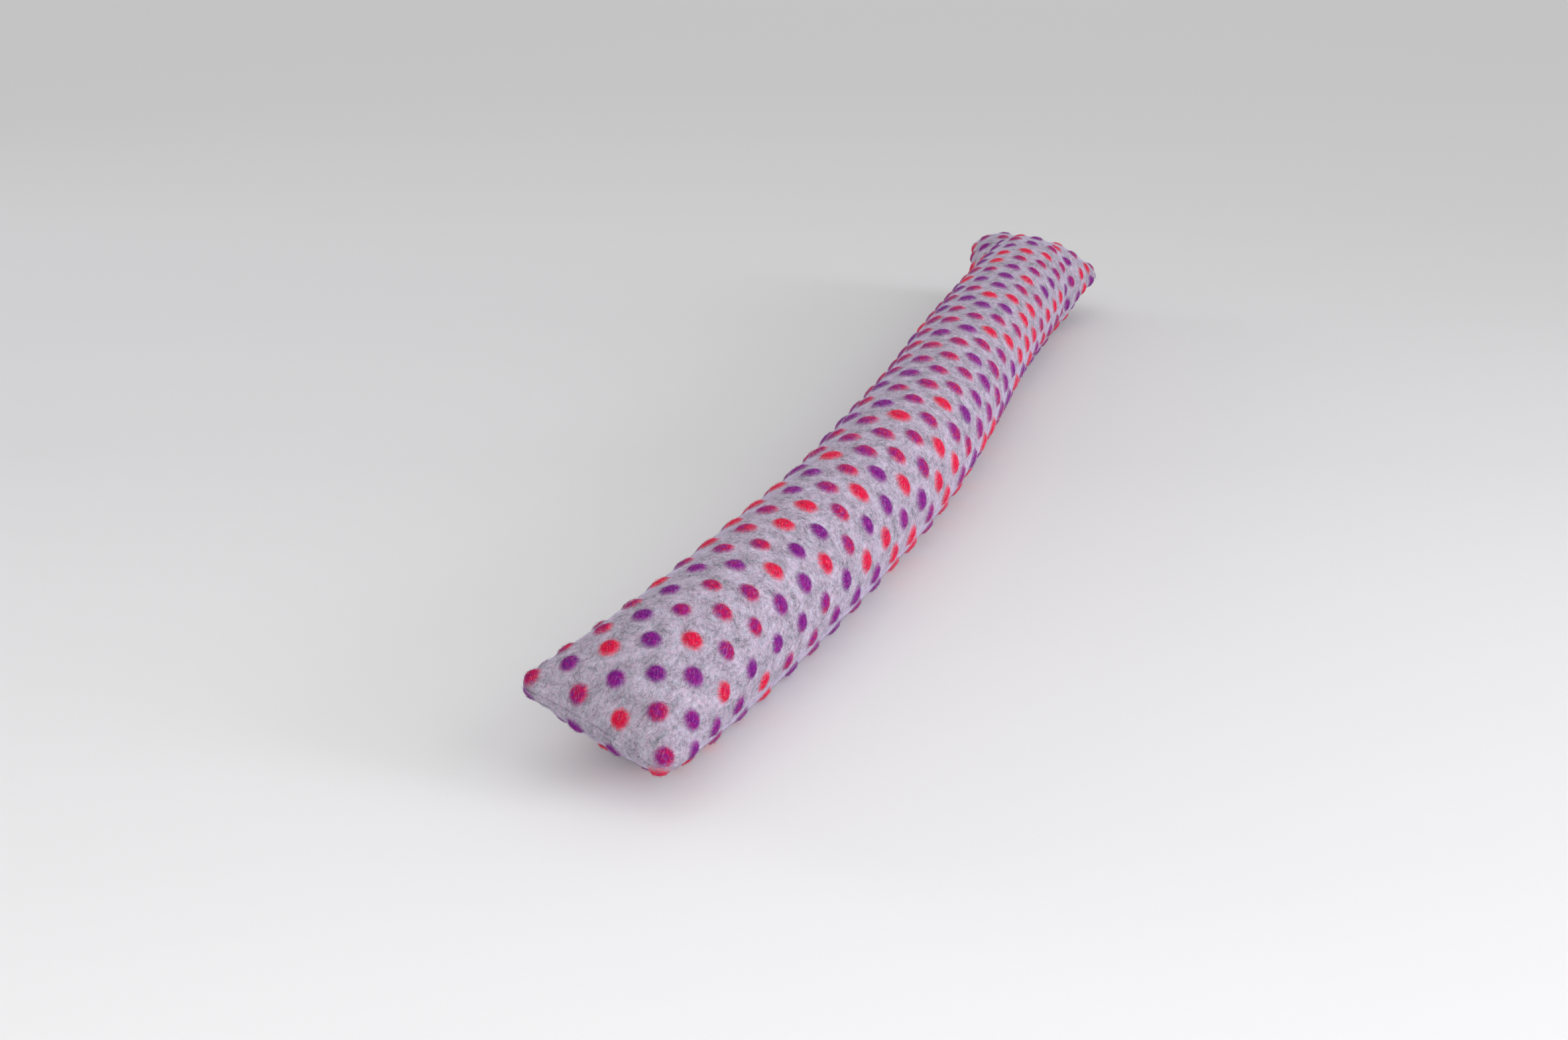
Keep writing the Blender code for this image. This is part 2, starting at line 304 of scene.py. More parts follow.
# ================================================================ the cloth with its dots
class Cloth:
    """Fine grid over the tube: places, normals, the dots' colours and heights."""

    def __init__(self, offset):
        fine, total = arc_table()
        self.cloth_length = total[-1]
        self.u = np.linspace(0.0, 1.0, FINE_RINGS + 1)
        self.s = np.interp(self.u * self.cloth_length, total, fine)
        # the columns start at the middle of the underside and reach the left corner at a quarter
        self.first_column = CORNER_COLUMN + 0.25 * COLUMNS
        self.v = np.arange(FINE_COLUMNS) / FINE_COLUMNS
        columns = self.first_column + self.v * COLUMNS
        s, column = np.meshgrid(self.s, columns, indexing="ij")
        self.flat = cloth_point(s, column) + offset
        self.normal = self.normals(self.flat)
        self.edge = np.full(self.flat.shape[:2], NO_DOT)
        self.tint = np.zeros(self.flat.shape[:2])
        self.lift = np.zeros(self.flat.shape[:2])
        self.dots = []
        self.raise_dots()
        rise = self.lift + self.unevenness() - self.creases()
        self.place = self.flat + self.normal * rise[..., None]
        self.place[..., 2] = settle(self.place[..., 2])
        self.normal = self.normals(self.place)

    @staticmethod
    def normals(points):
        along = np.gradient(points, axis=0)
        around = np.roll(points, -1, axis=1) - np.roll(points, 1, axis=1)
        return unit(np.cross(around, along))

    def raise_dots(self):
        rng = np.random.default_rng(SEED)
        for row in range(ROWS):
            for ring in range(1 + 2 * (row % 2), RINGS, 4):
                self.raise_dot(rng, row, ring)

    def raise_dot(self, rng, row, ring):
        """One dot: everything that is random about it is drawn first, always in this order."""
        pick = rng.uniform()
        size = 1.0 + DOT_SIZES * rng.uniform(-1.0, 1.0)
        waves = rng.uniform(-1.0, 1.0, 2 * len(DOT_WAVES))
        turn = rng.uniform(-0.5, 0.5)
        level = rng.uniform(-1.0, 1.0)
        off = rng.normal(0.0, DOT_JITTER, 2)

        part = ring / RINGS
        stretch = DOT_STRETCH * math.cos(2.0 * math.pi * part)
        size = size * (1.0 - stretch + DOT_TAPER * (2.0 * part - 1.0))
        centre_i = (ring_part(ring) + off[0] / self.cloth_length) * FINE_RINGS
        centre_j = 2 * row + off[1] / (GIRTH / COLUMNS) - self.first_column
        centre_j = centre_j / COLUMNS * FINE_COLUMNS
        self.dots.append((centre_i, centre_j, size))

        window, x, y = self.dot_window(centre_i, centre_j)
        distance = np.hypot(x, y)
        angle = np.arctan2(y, x)
        outline = 1.0
        for k, (bumps, height) in enumerate(DOT_WAVES):
            start = 3.0 * waves[2 * k + 1]
            outline = outline + height * waves[2 * k] * np.cos(bumps * angle + start)
        reach = distance / (size * outline)
        slope = np.clip((reach - DOT_SHOULDER) / (DOT_FOOT - DOT_SHOULDER), 0.0, 1.0)
        dome = 1.0 - DOT_DOME * np.clip(distance / DOT_SHOULDER, 0.0, 1.0) ** 2
        lift = DOT_HEIGHT * size * dome * (1.0 - slope * slope * (3.0 - 2.0 * slope))
        inside = DOT_EDGE - reach
        tint = self.dot_tint(pick, level, CRIMSON_DYE_AND_SHADE_SIDE + turn, x, y)
        closer = inside > self.edge[window]
        self.edge[window] = np.where(closer, inside, self.edge[window])
        self.tint[window] = np.where(closer, tint, self.tint[window])
        self.lift[window] = np.maximum(self.lift[window], lift)

    def dot_window(self, centre_i, centre_j):
        """Part of the grid around a dot, and places in it as seen from the dot's middle."""
        reach_i = int(math.ceil(DOT_WINDOW[0] * FINE_RINGS / RINGS))
        reach_j = int(math.ceil(DOT_WINDOW[1] * FINE_COLUMNS / COLUMNS))
        i0 = int(np.clip(round(centre_i), 0, FINE_RINGS))
        j0 = int(round(centre_j))
        i = np.arange(max(i0 - reach_i, 0), min(i0 + reach_i, FINE_RINGS) + 1)
        j = np.arange(j0 - reach_j, j0 + reach_j + 1)
        window = np.ix_(i, j % FINE_COLUMNS)
        along = self.sample(self.flat, centre_i + 2.0, centre_j)
        along = unit(along - self.sample(self.flat, centre_i - 2.0, centre_j))
        side = self.sample(self.flat, centre_i, centre_j + 2.0)
        side = side - self.sample(self.flat, centre_i, centre_j - 2.0)
        side = unit(side - along * np.dot(side, along))
        off = self.flat[window] - self.sample(self.flat, centre_i, centre_j)
        return window, off @ along, off @ side

    @staticmethod
    def dot_tint(pick, level, heading, x, y):
        """Tint over one dot, the same all over unless the dot is crimson, whose one side is purpler:
        partly two-tone dye, partly painted shade.
        """
        if pick < RED_SHARE:
            return RED_TINTS[0] + RED_TINTS[1] * level
        if pick > 1.0 - PURPLE_SHARE:
            return PURPLE_TINTS[0] + PURPLE_TINTS[1] * level
        across = (x * math.cos(heading) + y * math.sin(heading)) / DOT_EDGE
        # purpler toward the heading: partly two-tone dye, partly painted shade
        return CRIMSON_TINTS[0] + CRIMSON_TINTS[1] * level - CRIMSON_DYE_AND_SHADE_LEAN * across

    def unevenness(self):
        """Soft lumps over all of the cloth, and small folds that start at the seams."""
        large, small = UNEVEN_SIZES
        lumps = soft_noise(self.flat, large, SEED + 1)
        lumps = lumps + 0.5 * soft_noise(self.flat, small, SEED + 2)
        to_seam = self.cloth_length * np.minimum(self.u, 1.0 - self.u)[:, None]
        phase = self.v[None, :] * 2.0 * math.pi * PUCKER_COUNT
        phase = phase + PUCKER_WANDER * soft_noise(self.flat, PUCKER_WANDER_SIZE, SEED + 3)
        fade = np.exp(-to_seam / PUCKER_REACH) * np.clip(to_seam / PUCKER_RISE, 0.0, 1.0)
        vary = PUCKER_VARY * soft_noise(self.flat, PUCKER_VARY_SIZE, SEED + 4)
        fold = np.sin(phase) * fade * (1.0 - PUCKER_VARY + vary)
        return UNEVEN_HEIGHT * lumps + PUCKER_HEIGHT * fold

    def creases(self):
        """Depth of the valleys from the far seam to the sides, below 0 where the cloth rises."""
        to_seam = self.cloth_length * (1.0 - self.u)[:, None]
        depth = np.zeros(self.flat.shape[:2])
        for side, start, reach, half, deep, deepen, puff in CREASES:
            from_corner = (0.25 + side * (0.5 - self.v[None, :])) * GIRTH
            start = start * 0.5 * GIRTH
            span = math.hypot(reach, start)
            across = ((from_corner - start) * reach + to_seam * start) / span
            along = (to_seam * reach + (start - from_corner) * start) / span ** 2
            fade = np.clip(to_seam / deepen, 0.0, 1.0) * np.clip(3.0 - 2.0 * along, 0.0, 1.0)
            depth = depth + fade * deep * np.exp(-(across / half) ** 2)
            from_puff = (across / half + PUFF_PLACE) / PUFF_WIDTH
            depth = depth - fade * puff * np.exp(-from_puff ** 2)
        return depth

    def sample(self, grid, i, j):
        """Value of a grid between its points; i and j may be arrays."""
        i = np.clip(np.asarray(i, float), 0.0, FINE_RINGS - 1e-6)
        j = np.asarray(j, float)
        i0 = np.floor(i).astype(int)
        j0 = np.floor(j).astype(int)
        fi = (i - i0)[..., None]
        fj = (j - j0)[..., None]
        a = j0 % FINE_COLUMNS
        b = (j0 + 1) % FINE_COLUMNS
        values = grid if grid.ndim == 3 else grid[..., None]
        low = values[i0, a] * (1.0 - fj) + values[i0, b] * fj
        high = values[i0 + 1, a] * (1.0 - fj) + values[i0 + 1, b] * fj
        return low * (1.0 - fi) + high * fi


class BodyMesh:
    """Faces of the closed cloth, with their places in two texture maps."""

    HALF_START = 0.005              # the bake map has the near half of the tube from here up
    HALF_BAND = 0.475               # height of one half of the tube in it
    SEAM_START = 0.965              # where the seams' edges start
    SEAM_BAND = 0.012               # height of one seam's edge
    SEAM_GAP = 0.0036               # between the seams' edges
    ROLL_POWER = 0.7                # roundness of the rolled edges
    GROOVE_DEPTH = 0.35             # of the groove between them, as a part of their height
    GROOVE_HALF = 0.12              # half its width, as a part of the seam's thickness
    EDGE_STEP = 0.0007              # length of cloth from step to step over a seam's edge

    def __init__(self, cloth):
        self.cloth = cloth
        self.verts = [cloth.place.reshape(-1, 3)]
        self.edge = [cloth.edge.reshape(-1)]
        self.tint = [cloth.tint.reshape(-1)]
        self.count = len(self.verts[0])
        self.faces = []
        self.cloth_map = []
        self.bake_map = []
        self.add_tube()
        self.add_seam_edge(0, FINE_RINGS - 1, 0)
        self.add_seam_edge(FINE_RINGS, 1, 1)

    def add_faces(self, faces, cloth_map, bake_map):
        """Four-cornered faces; one whose corners repeat is kept as a triangle."""
        for face, here, there in zip(faces.tolist(), cloth_map.tolist(), bake_map.tolist()):
            kept = [k for k in range(4) if face[k] not in face[:k]]
            self.faces.append([face[k] for k in kept])
            self.cloth_map.extend(here[k] for k in kept)
            self.bake_map.extend(there[k] for k in kept)

    def add_tube(self):
        i, j = np.meshgrid(np.arange(FINE_RINGS), np.arange(FINE_COLUMNS), indexing="ij")
        i = i.reshape(-1, 1) + np.array([[0, 1, 1, 0]])
        j = j.reshape(-1, 1) + np.array([[0, 0, 1, 1]])
        faces = i * FINE_COLUMNS + j % FINE_COLUMNS
        u = self.cloth.u[i]
        v = j / FINE_COLUMNS
        far_half = np.where(u.mean(axis=1, keepdims=True) > 0.5, 1.0, 0.0)
        bake_u = 2.0 * u - far_half
        bake_v = self.HALF_START + self.HALF_BAND * (v + far_half)
        cloth_map = np.stack([u * self.cloth.cloth_length, v * GIRTH], -1)
        self.add_faces(faces, cloth_map, np.stack([bake_u, bake_v], -1))

    def add_seam_edge(self, ring, inner, end):
        """Two rolled edges of cloth with the seam's groove between them."""
        cloth = self.cloth
        half = FINE_COLUMNS // 2
        quarter = FINE_COLUMNS // 4
        steps = np.arange(half + 1)
        high = (quarter + steps) % FINE_COLUMNS
        low = (quarter - steps) % FINE_COLUMNS
        outward = unit(cloth.flat[ring] - cloth.flat[inner if ring else 1])
        out = unit(outward[high] + outward[low])
        top = cloth.place[ring, high]
        bottom = cloth.place[ring, low]
        thick = np.linalg.norm(top - bottom, axis=-1) / (2.0 * SEAM_HALF)
        rows = [ring * FINE_COLUMNS + high]
        for k in range(1, SEAM_STEPS):
            t = k / SEAM_STEPS
            roll = abs(math.sin(2.0 * math.pi * t)) ** self.ROLL_POWER
            roll = roll - self.GROOVE_DEPTH * math.exp(-((t - 0.5) / self.GROOVE_HALF) ** 2)
            reach = SEAM_BULGE * roll * np.clip(thick, 0.0, 1.0)
            self.verts.append(top * (1.0 - t) + bottom * t + out * reach[:, None])
            self.edge.append(cloth.edge[ring, high] * (1.0 - t) + cloth.edge[ring, low] * t)
            self.tint.append(cloth.tint[ring, high] if t < 0.5 else cloth.tint[ring, low])
            index = self.count + steps
            index[0] = rows[0][0]
            index[-1] = rows[0][-1]
            rows.append(index)
            self.count += half + 1
        rows.append(ring * FINE_COLUMNS + low)
        order = [3, 2, 1, 0] if end else [0, 1, 2, 3]
        across = np.stack([steps[:-1], steps[1:], steps[1:], steps[:-1]], -1)[:, order]
        for k in range(SEAM_STEPS):
            above = rows[k]
            below = rows[k + 1]
            faces = np.stack([above[:-1], above[1:], below[1:], below[:-1]], -1)[:, order]
            deep = np.array([k, k, k + 1, k + 1])[order] + 0 * across
            u = end * cloth.cloth_length + (2.0 * end - 1.0) * self.EDGE_STEP * deep
            cloth_map = np.stack([u, (quarter + across) / FINE_COLUMNS * GIRTH], -1)
            bake_v = self.SEAM_START + end * (self.SEAM_BAND + self.SEAM_GAP)
            bake_v = bake_v + self.SEAM_BAND * deep / SEAM_STEPS
            self.add_faces(faces, cloth_map, np.stack([across / half, bake_v], -1))

    def make(self, name, material):
        mesh = make_mesh(name, np.concatenate(self.verts), self.faces)
        set_map(mesh, "cloth", np.array(self.cloth_map))
        set_map(mesh, "OFBake", np.array(self.bake_map))
        set_values(mesh, "dot_edge", np.concatenate(self.edge) * 1000.0)
        set_values(mesh, "dot_tint", np.concatenate(self.tint))
        return make_object(name, mesh, material)


# ================================================================ mesh helpers
def make_mesh(name, verts, faces):
    mesh = bpy.data.meshes.new(name)
    mesh.from_pydata(verts.tolist(), [], faces)
    mesh.polygons.foreach_set("use_smooth", [True] * len(mesh.polygons))
    mesh.update()
    return mesh


def set_map(mesh, name, places):
    layer = mesh.uv_layers.new(name=name)
    layer.uv.foreach_set("vector", places.astype(np.float32).ravel())


def set_values(mesh, name, values):
    layer = mesh.attributes.new(name, "FLOAT", "POINT")
    layer.data.foreach_set("value", values.astype(np.float32))


def make_object(name, mesh, material):
    mesh.materials.append(material)
    obj = bpy.data.objects.new(name, mesh)
    bpy.context.scene.collection.objects.link(obj)
    return obj


# ================================================================ fibres
def make_fibres(name, start, along, normal, length, lift, bow, shade, material):
    """Thin pointed fibres, each an arch of two spikes that share one three-sided ring.

    How far their tips rise is random, with a seed from the piece's name.
    """
    count = len(start)
    side = unit(np.cross(normal, along))
    middle = start + along * (0.5 * length)[:, None] + normal * lift[:, None] + side * bow[:, None]
    tip_lift = lift * np.random.default_rng(len(name)).uniform(*FIBRE_TIPS, count)
    end = start + along * length[:, None] + normal * tip_lift[:, None]
    verts = np.zeros((count, 5, 3))
    verts[:, 0] = start
    for k in range(3):
        angle = 2.0 * math.pi * k / 3.0 + 0.5
        out = side * math.cos(angle) + normal * math.sin(angle)
        verts[:, 1 + k] = middle + FIBRE_RADIUS * out
    verts[:, 4] = end
    verts[..., 2] = np.maximum(verts[..., 2], FIBRE_FLOOR)
    pattern = np.array([[0, 1, 2], [0, 2, 3], [0, 3, 1], [4, 2, 1], [4, 3, 2], [4, 1, 3]])
    faces = pattern[None] + 5 * np.arange(count)[:, None, None]
    mesh = make_mesh(name, verts.reshape(-1, 3), faces.reshape(-1, 3).tolist())
    set_values(mesh, "shade", np.repeat(shade, 5))
    across = int(math.ceil(math.sqrt(count)))
    cell = np.stack([np.arange(count) % across, np.arange(count) // across], -1)
    corners = np.array([[0.1, 0.5], [0.5, 0.2], [0.5, 0.5], [0.5, 0.8], [0.9, 0.5]])
    places = (cell[:, None, :] + corners[None]) / across
    set_map(mesh, "OFBake", places.reshape(-1, 2)[faces.reshape(-1)])
    return make_object(name, mesh, material)


def fibre_directions(rng, along, around, count):
    """Directions along the cloth, at random."""
    turn = rng.uniform(0.0, 2.0 * math.pi, count)[:, None]
    return along * np.cos(turn) + around * np.sin(turn)


def surface_frame(cloth, i, j):
    place = cloth.sample(cloth.place, i, j)
    normal = unit(cloth.sample(cloth.normal, i, j))
    along = unit(cloth.sample(cloth.place, i + 1.0, j) - cloth.sample(cloth.place, i - 1.0, j))
    along = unit(along - normal * np.sum(along * normal, axis=-1, keepdims=True))
    return place, normal, along, np.cross(normal, along)


def cloth_fibres(cloth, material):
    rng = np.random.default_rng(SEED + 20)
    i = rng.uniform(1.0, FINE_RINGS - 1.0, 2 * CLOTH_FIBRES)
    j = rng.uniform(0.0, FINE_COLUMNS, 2 * CLOTH_FIBRES)
    place, normal, along, around = surface_frame(cloth, i, j)
    inside = cloth.sample(cloth.edge, i, j)[..., 0]
    keep = np.flatnonzero((place[:, 2] > FLOOR_CLEAR) & (inside < CLOTH_FIBRE_INSIDE))
    keep = keep[:CLOTH_FIBRES]
    count = len(keep)
    heading = fibre_directions(rng, along[keep], around[keep], count)
    start = place[keep] - FIBRE_ROOT * normal[keep]
    length = rng.lognormal(0.0, CLOTH_FIBRE_SPREAD, count)
    length = CLOTH_FIBRE_LENGTH * np.minimum(length, FIBRE_LONGEST)
    lift = rng.uniform(*CLOTH_FIBRE_LIFT, count)
    bow = rng.normal(0.0, FIBRE_BOW, count)
    return make_fibres("cloth_fibres", start, heading, normal[keep], length, lift, bow,
                       rng.uniform(0.0, 1.0, count), material)


def dot_fibres(cloth, material):
    rng = np.random.default_rng(SEED + 21)
    dots = np.array(cloth.dots)
    pick = rng.integers(0, len(dots), 2 * DOT_FIBRES)
    outward = rng.uniform(0.0, 1.0, len(pick)) ** DOT_FIBRE_OUTWARD
    radius = DOT_EDGE * dots[pick, 2] * np.clip(outward, 0.0, DOT_FIBRE_REACH)
    angle = rng.uniform(0.0, 2.0 * math.pi, len(pick))
    i = dots[pick, 0] + radius * np.cos(angle) / cloth.cloth_length * FINE_RINGS
    j = dots[pick, 1] + radius * np.sin(angle) / GIRTH * FINE_COLUMNS
    place, normal, along, around = surface_frame(cloth, i, j)
    inside = (i > 0.5) & (i < FINE_RINGS - 0.5)
    keep = np.flatnonzero((place[:, 2] > FLOOR_CLEAR) & inside)[:DOT_FIBRES]
    count = len(keep)
    heading = fibre_directions(rng, along[keep], around[keep], count)
    start = place[keep] - FIBRE_ROOT * normal[keep]
    length = rng.lognormal(0.0, DOT_FIBRE_SPREAD, count)
    length = DOT_FIBRE_LENGTH * np.minimum(length, FIBRE_LONGEST)
    lift = rng.uniform(*DOT_FIBRE_LIFT, count)
    bow = rng.normal(0.0, FIBRE_BOW, count)
    tint = cloth.sample(cloth.tint, i[keep], j[keep])[..., 0]
    tint = tint + rng.normal(0.0, DOT_FIBRE_TINTS, count)
    return make_fibres("dot_fibres", start, heading, normal[keep], length, lift, bow,
                       np.clip(tint, 0.0, 1.0), material)


# ================================================================ materials
class Shader:
    """Short way to add the nodes of one material."""

    def __init__(self, name):
        self.material = bpy.data.materials.new(name)
        self.material.use_nodes = True
        self.tree = self.material.node_tree
        self.surface = self.tree.nodes["Principled BSDF"]

    def node(self, kind, sockets, **settings):
        node = self.tree.nodes.new(kind)
        for name, value in settings.items():
            setattr(node, name, value)
        for key, value in sockets.items():
            self.feed(node.inputs[key], value)
        return node

    def feed(self, socket, value):
        if isinstance(value, bpy.types.NodeSocket):
            self.tree.links.new(value, socket)
        else:
            socket.default_value = value

    def math(self, operation, a, b=0.0, c=0.0):
        return self.node("ShaderNodeMath", {0: a, 1: b, 2: c}, operation=operation).outputs[0]

    def add_part(self, total, noise, weight):
        """Total plus how far a noise lies from its middle value, times a weight."""
        return self.math("MULTIPLY_ADD", self.math("SUBTRACT", noise, 0.5), weight, total)

    def between(self, value, low, high, new_low=0.0, new_high=1.0):
        """Value taken from one range to another, softly at both ends."""
        sockets = {"Value": value, "From Min": low, "From Max": high,
                   "To Min": new_low, "To Max": new_high}
        return self.node("ShaderNodeMapRange", sockets, interpolation_type="SMOOTHSTEP").outputs[0]

    def noise(self, place, scale, detail=2.0, roughness=0.5):
        sockets = {"Vector": place, "Scale": scale, "Detail": detail, "Roughness": roughness}
        return self.node("ShaderNodeTexNoise", sockets).outputs[0]

    def mapped(self, place, turn, scale):
        sockets = {"Vector": place, "Rotation": (0.0, 0.0, turn), "Scale": scale}
        return self.node("ShaderNodeMapping", sockets, vector_type="TEXTURE").outputs[0]

    def streaks(self, place, turn, length, width):
        """Noise drawn out into short fibres at one angle."""
        return self.noise(self.mapped(place, turn, (length, width, 1.0)), 1.0, 1.5, 0.55)

    def mix(self, factor, a, b):
        node = self.node("ShaderNodeMix", {0: factor, 6: a, 7: b}, data_type="RGBA")
        return node.outputs[2]

    def tinted(self, colour, tone):
        sockets = {0: 1.0, 6: colour, 7: tone}
        node = self.node("ShaderNodeMix", sockets, data_type="RGBA", blend_type="MULTIPLY")
        return node.outputs[2]

    def value(self, name):
        return self.node("ShaderNodeAttribute", {}, attribute_name=name).outputs["Fac"]

    def ramp(self, factor, stops):
        node = self.node("ShaderNodeValToRGB", {"Fac": factor})
        elements = node.color_ramp.elements
        while len(elements) < len(stops):
            elements.new(0.5)
        for element, (place, colour) in zip(elements, stops):
            element.position = place
            element.color = (*colour, 1.0)
        return node.outputs["Color"]

    def cloth_place(self, warp):
        """Place on the flat cloth in metres, bent by a soft noise."""
        flat = self.node("ShaderNodeUVMap", {}, uv_map="cloth").outputs[0]
        bend = self.node("ShaderNodeTexNoise", {"Vector": flat, "Scale": WARP_SCALE, "Detail": 1.0})
        sockets = {0: bend.outputs["Color"], 1: (0.5, 0.5, 0.5)}
        centred = self.node("ShaderNodeVectorMath", sockets, operation="SUBTRACT")
        sockets = {0: centred.outputs[0], "Scale": warp}
        moved = self.node("ShaderNodeVectorMath", sockets, operation="SCALE")
        sockets = {0: flat, 1: moved.outputs[0]}
        return self.node("ShaderNodeVectorMath", sockets, operation="ADD").outputs[0]


def linear(*rgb):
    """Colour as seen on a screen, 0 to 255, as the shader wants it."""
    out = []
    for part in rgb:
        part = part / 255.0
        out.append(part / 12.92 if part <= 0.04045 else ((part + 0.055) / 1.055) ** 2.4)
    return tuple(out)


WOOL_DARK = linear(112, 111, 119)
WOOL_MIDDLE = linear(174, 163, 178)
WOOL_LIGHT = linear(206, 195, 213)
WOOL_PAINTED_SHEEN = linear(218, 208, 240)    # painted sheen: pale colour where the cloth is seen from the side
WOOL_COOL = (0.90, 1.00, 1.00)      # the wool's colour is multiplied by something between these two
WOOL_WARM = (1.08, 0.97, 1.01)
DYES = ((0.0, linear(116, 18, 126)), (0.22, linear(138, 24, 130)), (0.5, linear(160, 22, 96)),
        (0.78, linear(200, 20, 72)), (1.0, linear(220, 18, 62)))
DYE_DEEP = (0.72, 0.72, 0.76)       # and the dyes by something between these two
DYE_PALE = (1.30, 1.30, 1.24)
WOOL_FINISH = {"Roughness": 0.95, "Specular IOR Level": 0.12, "Sheen Weight": 0.16,
               "Sheen Roughness": 0.25, "Sheen Tint": (*linear(226, 218, 244), 1.0)}
WARP = 0.006                        # how far the felt's pattern is bent, in metres on the cloth
WARP_SCALE = 90.0                   # rates of the noises, for each metre of cloth
BLOTCH_SCALE = 105.0
HUE_SCALE = 310.0
MOTTLE_SCALE = 420.0
GRAIN_SCALE = 430.0
SPECKLE_SCALE = 2600.0
FELT_LAYERS = ((0.35, 0.0026, 0.0006), (1.45, 0.0022, 0.0005), (2.50, 0.0030, 0.0007))
DYED_LAYER = (0.9, 0.0022, 0.0005)  # turn, length and width of its fibres, as in the felt's layers
LEVEL_WEIGHTS = (2.0, 1.25, 1.0, 0.4)   # of fibres, blotches, grain and speckle in the wool's shade
TINT_WEIGHTS = (0.6, 1.2)           # of dyed fibres and mottle in a dot's tint
EDGE_WEIGHTS = (3.6, 3.0)           # of dyed and grey fibres in a dot's edge, in millimetres
EDGE_RANGE = (-2.4, 1.8)            # millimetres inside the edge where the dye starts and is full
WOOL_OVER_DYE = (0.48, 0.80, 0.0, 0.32)     # third layer's range, and grey wool over the dye there
PAINTED_SHEEN_RANGE = (0.72, 1.0, 0.0, 0.60)  # from facing to side view, and painted sheen over the colour there
BUMP_GRAIN = 0.4                    # height of grain and speckle next to the fibres
BUMP_SPECKLE = 0.35
BUMP_STRENGTH = 0.55
BUMP_DEPTH = 0.0009
ROUGH_RANGE = (0.3, 0.7, 0.86, 1.0)     # fibres' range, and roughness there


def wool_finish(shader):
    for name, value in WOOL_FINISH.items():
        shader.feed(shader.surface.inputs[name], value)


def felt_material():
    """Wool felt of mixed light and dark fibres, with the dots' dyed fibres felted into it."""
    shader = Shader("felt_wool")
    place = shader.cloth_place(WARP)
    layers = [shader.streaks(place, *layer) for layer in FELT_LAYERS]
    fibre = shader.math("ADD", shader.math("ADD", layers[0], layers[1]), layers[2])
    fibre = shader.math("MULTIPLY", fibre, 1.0 / 3.0)
    grain = shader.noise(place, GRAIN_SCALE)
    speckle = shader.noise(place, SPECKLE_SCALE, 1.0)

    blotch = shader.noise(place, BLOTCH_SCALE, 3.0, 0.55)
    level = 0.5
    for noise, weight in zip((fibre, blotch, grain, speckle), LEVEL_WEIGHTS):
        level = shader.add_part(level, noise, weight)
    wool = shader.ramp(level, ((0.0, WOOL_DARK), (0.5, WOOL_MIDDLE), (1.0, WOOL_LIGHT)))
    hue = shader.noise(place, HUE_SCALE, 2.0, 0.6)
    wool = shader.tinted(wool, shader.ramp(hue, ((0.30, WOOL_COOL), (0.70, WOOL_WARM))))

    dyed_fibre = shader.streaks(place, *DYED_LAYER)
    tint = shader.add_part(shader.value("dot_tint"), dyed_fibre, TINT_WEIGHTS[0])
    tint = shader.add_part(tint, shader.noise(place, MOTTLE_SCALE), TINT_WEIGHTS[1])
    dye_tone = shader.ramp(dyed_fibre, ((0.25, DYE_DEEP), (0.75, DYE_PALE)))
    dye = shader.tinted(shader.ramp(tint, DYES), dye_tone)
    dye = shader.mix(shader.between(layers[2], *WOOL_OVER_DYE), dye, wool)

    # the dots' ragged edges: millimetres inside the edge, moved by the fibres
    ragged = shader.add_part(shader.value("dot_edge"), dyed_fibre, EDGE_WEIGHTS[0])
    ragged = shader.add_part(ragged, fibre, EDGE_WEIGHTS[1])
    colour = shader.mix(shader.between(ragged, *EDGE_RANGE), wool, dye)
    # painted sheen: the colour turns pale lilac where the cloth is seen from the side
    facing = shader.node("ShaderNodeLayerWeight", {"Blend": 0.5}).outputs["Facing"]
    colour = shader.mix(shader.between(facing, *PAINTED_SHEEN_RANGE), colour, (*WOOL_PAINTED_SHEEN, 1.0))
    shader.feed(shader.surface.inputs["Base Color"], colour)

    height = shader.math("MULTIPLY_ADD", speckle, BUMP_SPECKLE, fibre)
    height = shader.math("MULTIPLY_ADD", grain, BUMP_GRAIN, height)
    sockets = {"Strength": BUMP_STRENGTH, "Distance": BUMP_DEPTH, "Height": height}
    bump = shader.node("ShaderNodeBump", sockets)
    shader.feed(shader.surface.inputs["Normal"], bump.outputs[0])
    wool_finish(shader)
    shader.feed(shader.surface.inputs["Roughness"], shader.between(fibre, *ROUGH_RANGE))
    return shader.material


def grey_fibre_material():
    shader = Shader("fibre_wool")
    shade = shader.value("shade")
    colour = shader.ramp(shade, ((0.0, WOOL_DARK), (0.30, WOOL_MIDDLE), (1.0, WOOL_LIGHT)))
    shader.feed(shader.surface.inputs["Base Color"], colour)
    wool_finish(shader)
    return shader.material


def dyed_fibre_material():
    shader = Shader("fibre_dyed")
    colour = shader.ramp(shader.value("shade"), DYES)
    shader.feed(shader.surface.inputs["Base Color"], colour)
    wool_finish(shader)
    return shader.material


def floor_material():
    shader = Shader("stage_floor")
    place = shader.node("ShaderNodeNewGeometry", {}).outputs["Position"]
    turned = shader.mapped(place, CAMERA_HEADING, (1.0, 1.0, 1.0))
    depth = shader.node("ShaderNodeSeparateXYZ", {0: turned}).outputs[0]
    fade = shader.math("MULTIPLY_ADD", depth, FLOOR_RATE, FLOOR_START)
    fade = shader.math("MULTIPLY_ADD", shader.noise(place, 3.0), FLOOR_UNEVEN, fade)
    colour = shader.ramp(fade, [(stop, linear(grey, grey, grey)) for stop, grey in FLOOR_GREYS])
    shader.feed(shader.surface.inputs["Base Color"], colour)
    shader.surface.inputs["Roughness"].default_value = 0.9
    return shader.material


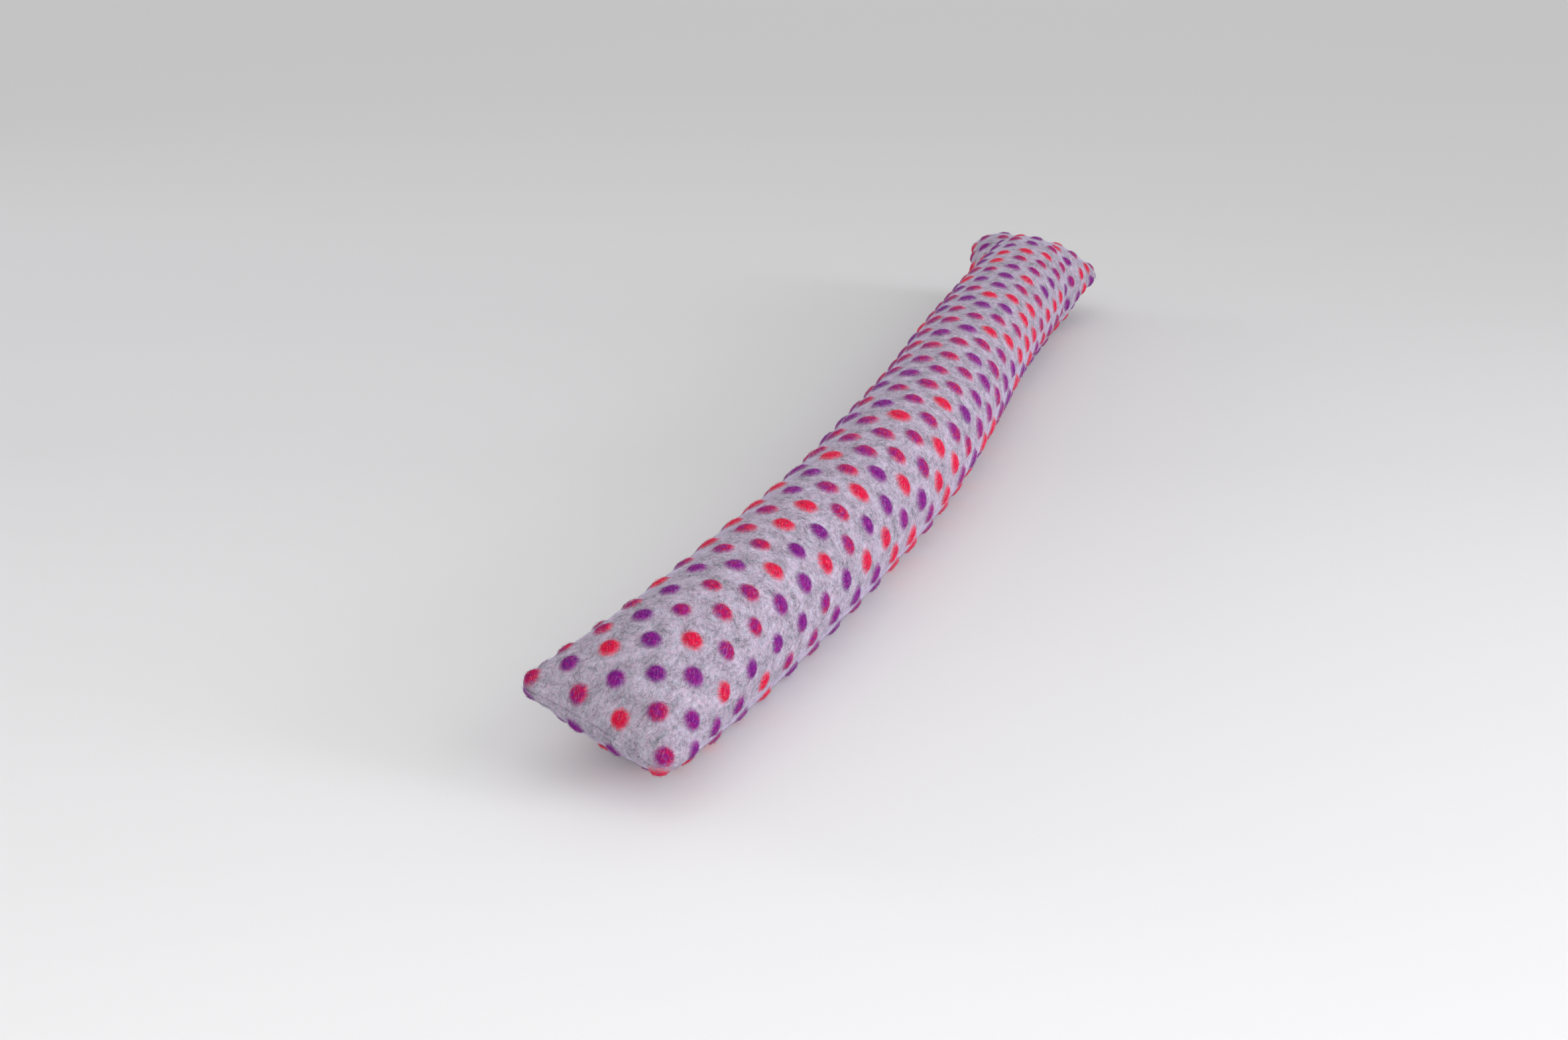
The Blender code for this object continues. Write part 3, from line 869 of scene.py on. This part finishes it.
# ================================================================ stage
def make_floor():
    r = FLOOR_REACH
    verts = np.array([[-r, -r, 0.0], [r, -r, 0.0], [r, r, 0.0], [-r, r, 0.0]])
    mesh = make_mesh("stage_floor", verts, [[0, 1, 2, 3]])
    floor = make_object("stage_floor", mesh, floor_material())


def add_light(name, place, aim, size, power, colour, spread):
    data = bpy.data.lights.new(name, "AREA")
    data.shape = "DISK"
    data.size = size
    data.energy = power
    data.color = colour
    data.spread = spread
    light = bpy.data.objects.new(name, data)
    light.location = place
    light.rotation_euler = (Vector(aim) - Vector(place)).to_track_quat("-Z", "Y").to_euler()
    bpy.context.scene.collection.objects.link(light)


def make_lights():
    for light in LIGHTS:
        add_light(*light)
    world = bpy.data.worlds.new("studio")
    world.use_nodes = True
    back = world.node_tree.nodes["Background"]
    back.inputs["Color"].default_value = (*WHITE, 1.0)
    back.inputs["Strength"].default_value = WORLD_LIGHT
    bpy.context.scene.world = world


def make_camera():
    data = bpy.data.cameras.new("camera")
    data.sensor_fit = "HORIZONTAL"
    data.sensor_width = SENSOR_MM
    data.lens = SENSOR_MM * FOCAL_PIXELS / FRAME_WIDTH
    data.clip_start = 0.01
    camera = bpy.data.objects.new("camera", data)
    camera.location = CAMERA_PLACE
    forward = Vector((math.cos(CAMERA_HEADING) * math.cos(CAMERA_DOWN),
                      math.sin(CAMERA_HEADING) * math.cos(CAMERA_DOWN), -math.sin(CAMERA_DOWN)))
    camera.rotation_euler = forward.to_track_quat("-Z", "Y").to_euler()
    bpy.context.scene.collection.objects.link(camera)
    bpy.context.scene.camera = camera


# ================================================================ the scene
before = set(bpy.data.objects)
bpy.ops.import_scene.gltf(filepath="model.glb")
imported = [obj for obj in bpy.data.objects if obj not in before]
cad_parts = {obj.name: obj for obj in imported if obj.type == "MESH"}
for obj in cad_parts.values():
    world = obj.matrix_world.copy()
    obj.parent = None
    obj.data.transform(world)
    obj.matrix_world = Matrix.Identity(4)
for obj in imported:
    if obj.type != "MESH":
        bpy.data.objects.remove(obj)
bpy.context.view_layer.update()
cloth = Cloth(solid_offset(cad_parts["stuffed_cover"]))

body = BodyMesh(cloth).make("felt_body", felt_material())
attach(body, "root")
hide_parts("stuffed_cover")

for fibres in (cloth_fibres(cloth, grey_fibre_material()),
               dot_fibres(cloth, dyed_fibre_material())):
    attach(fibres, "root")

make_floor()
make_lights()
make_camera()
bpy.context.scene.view_settings.view_transform = "Standard"
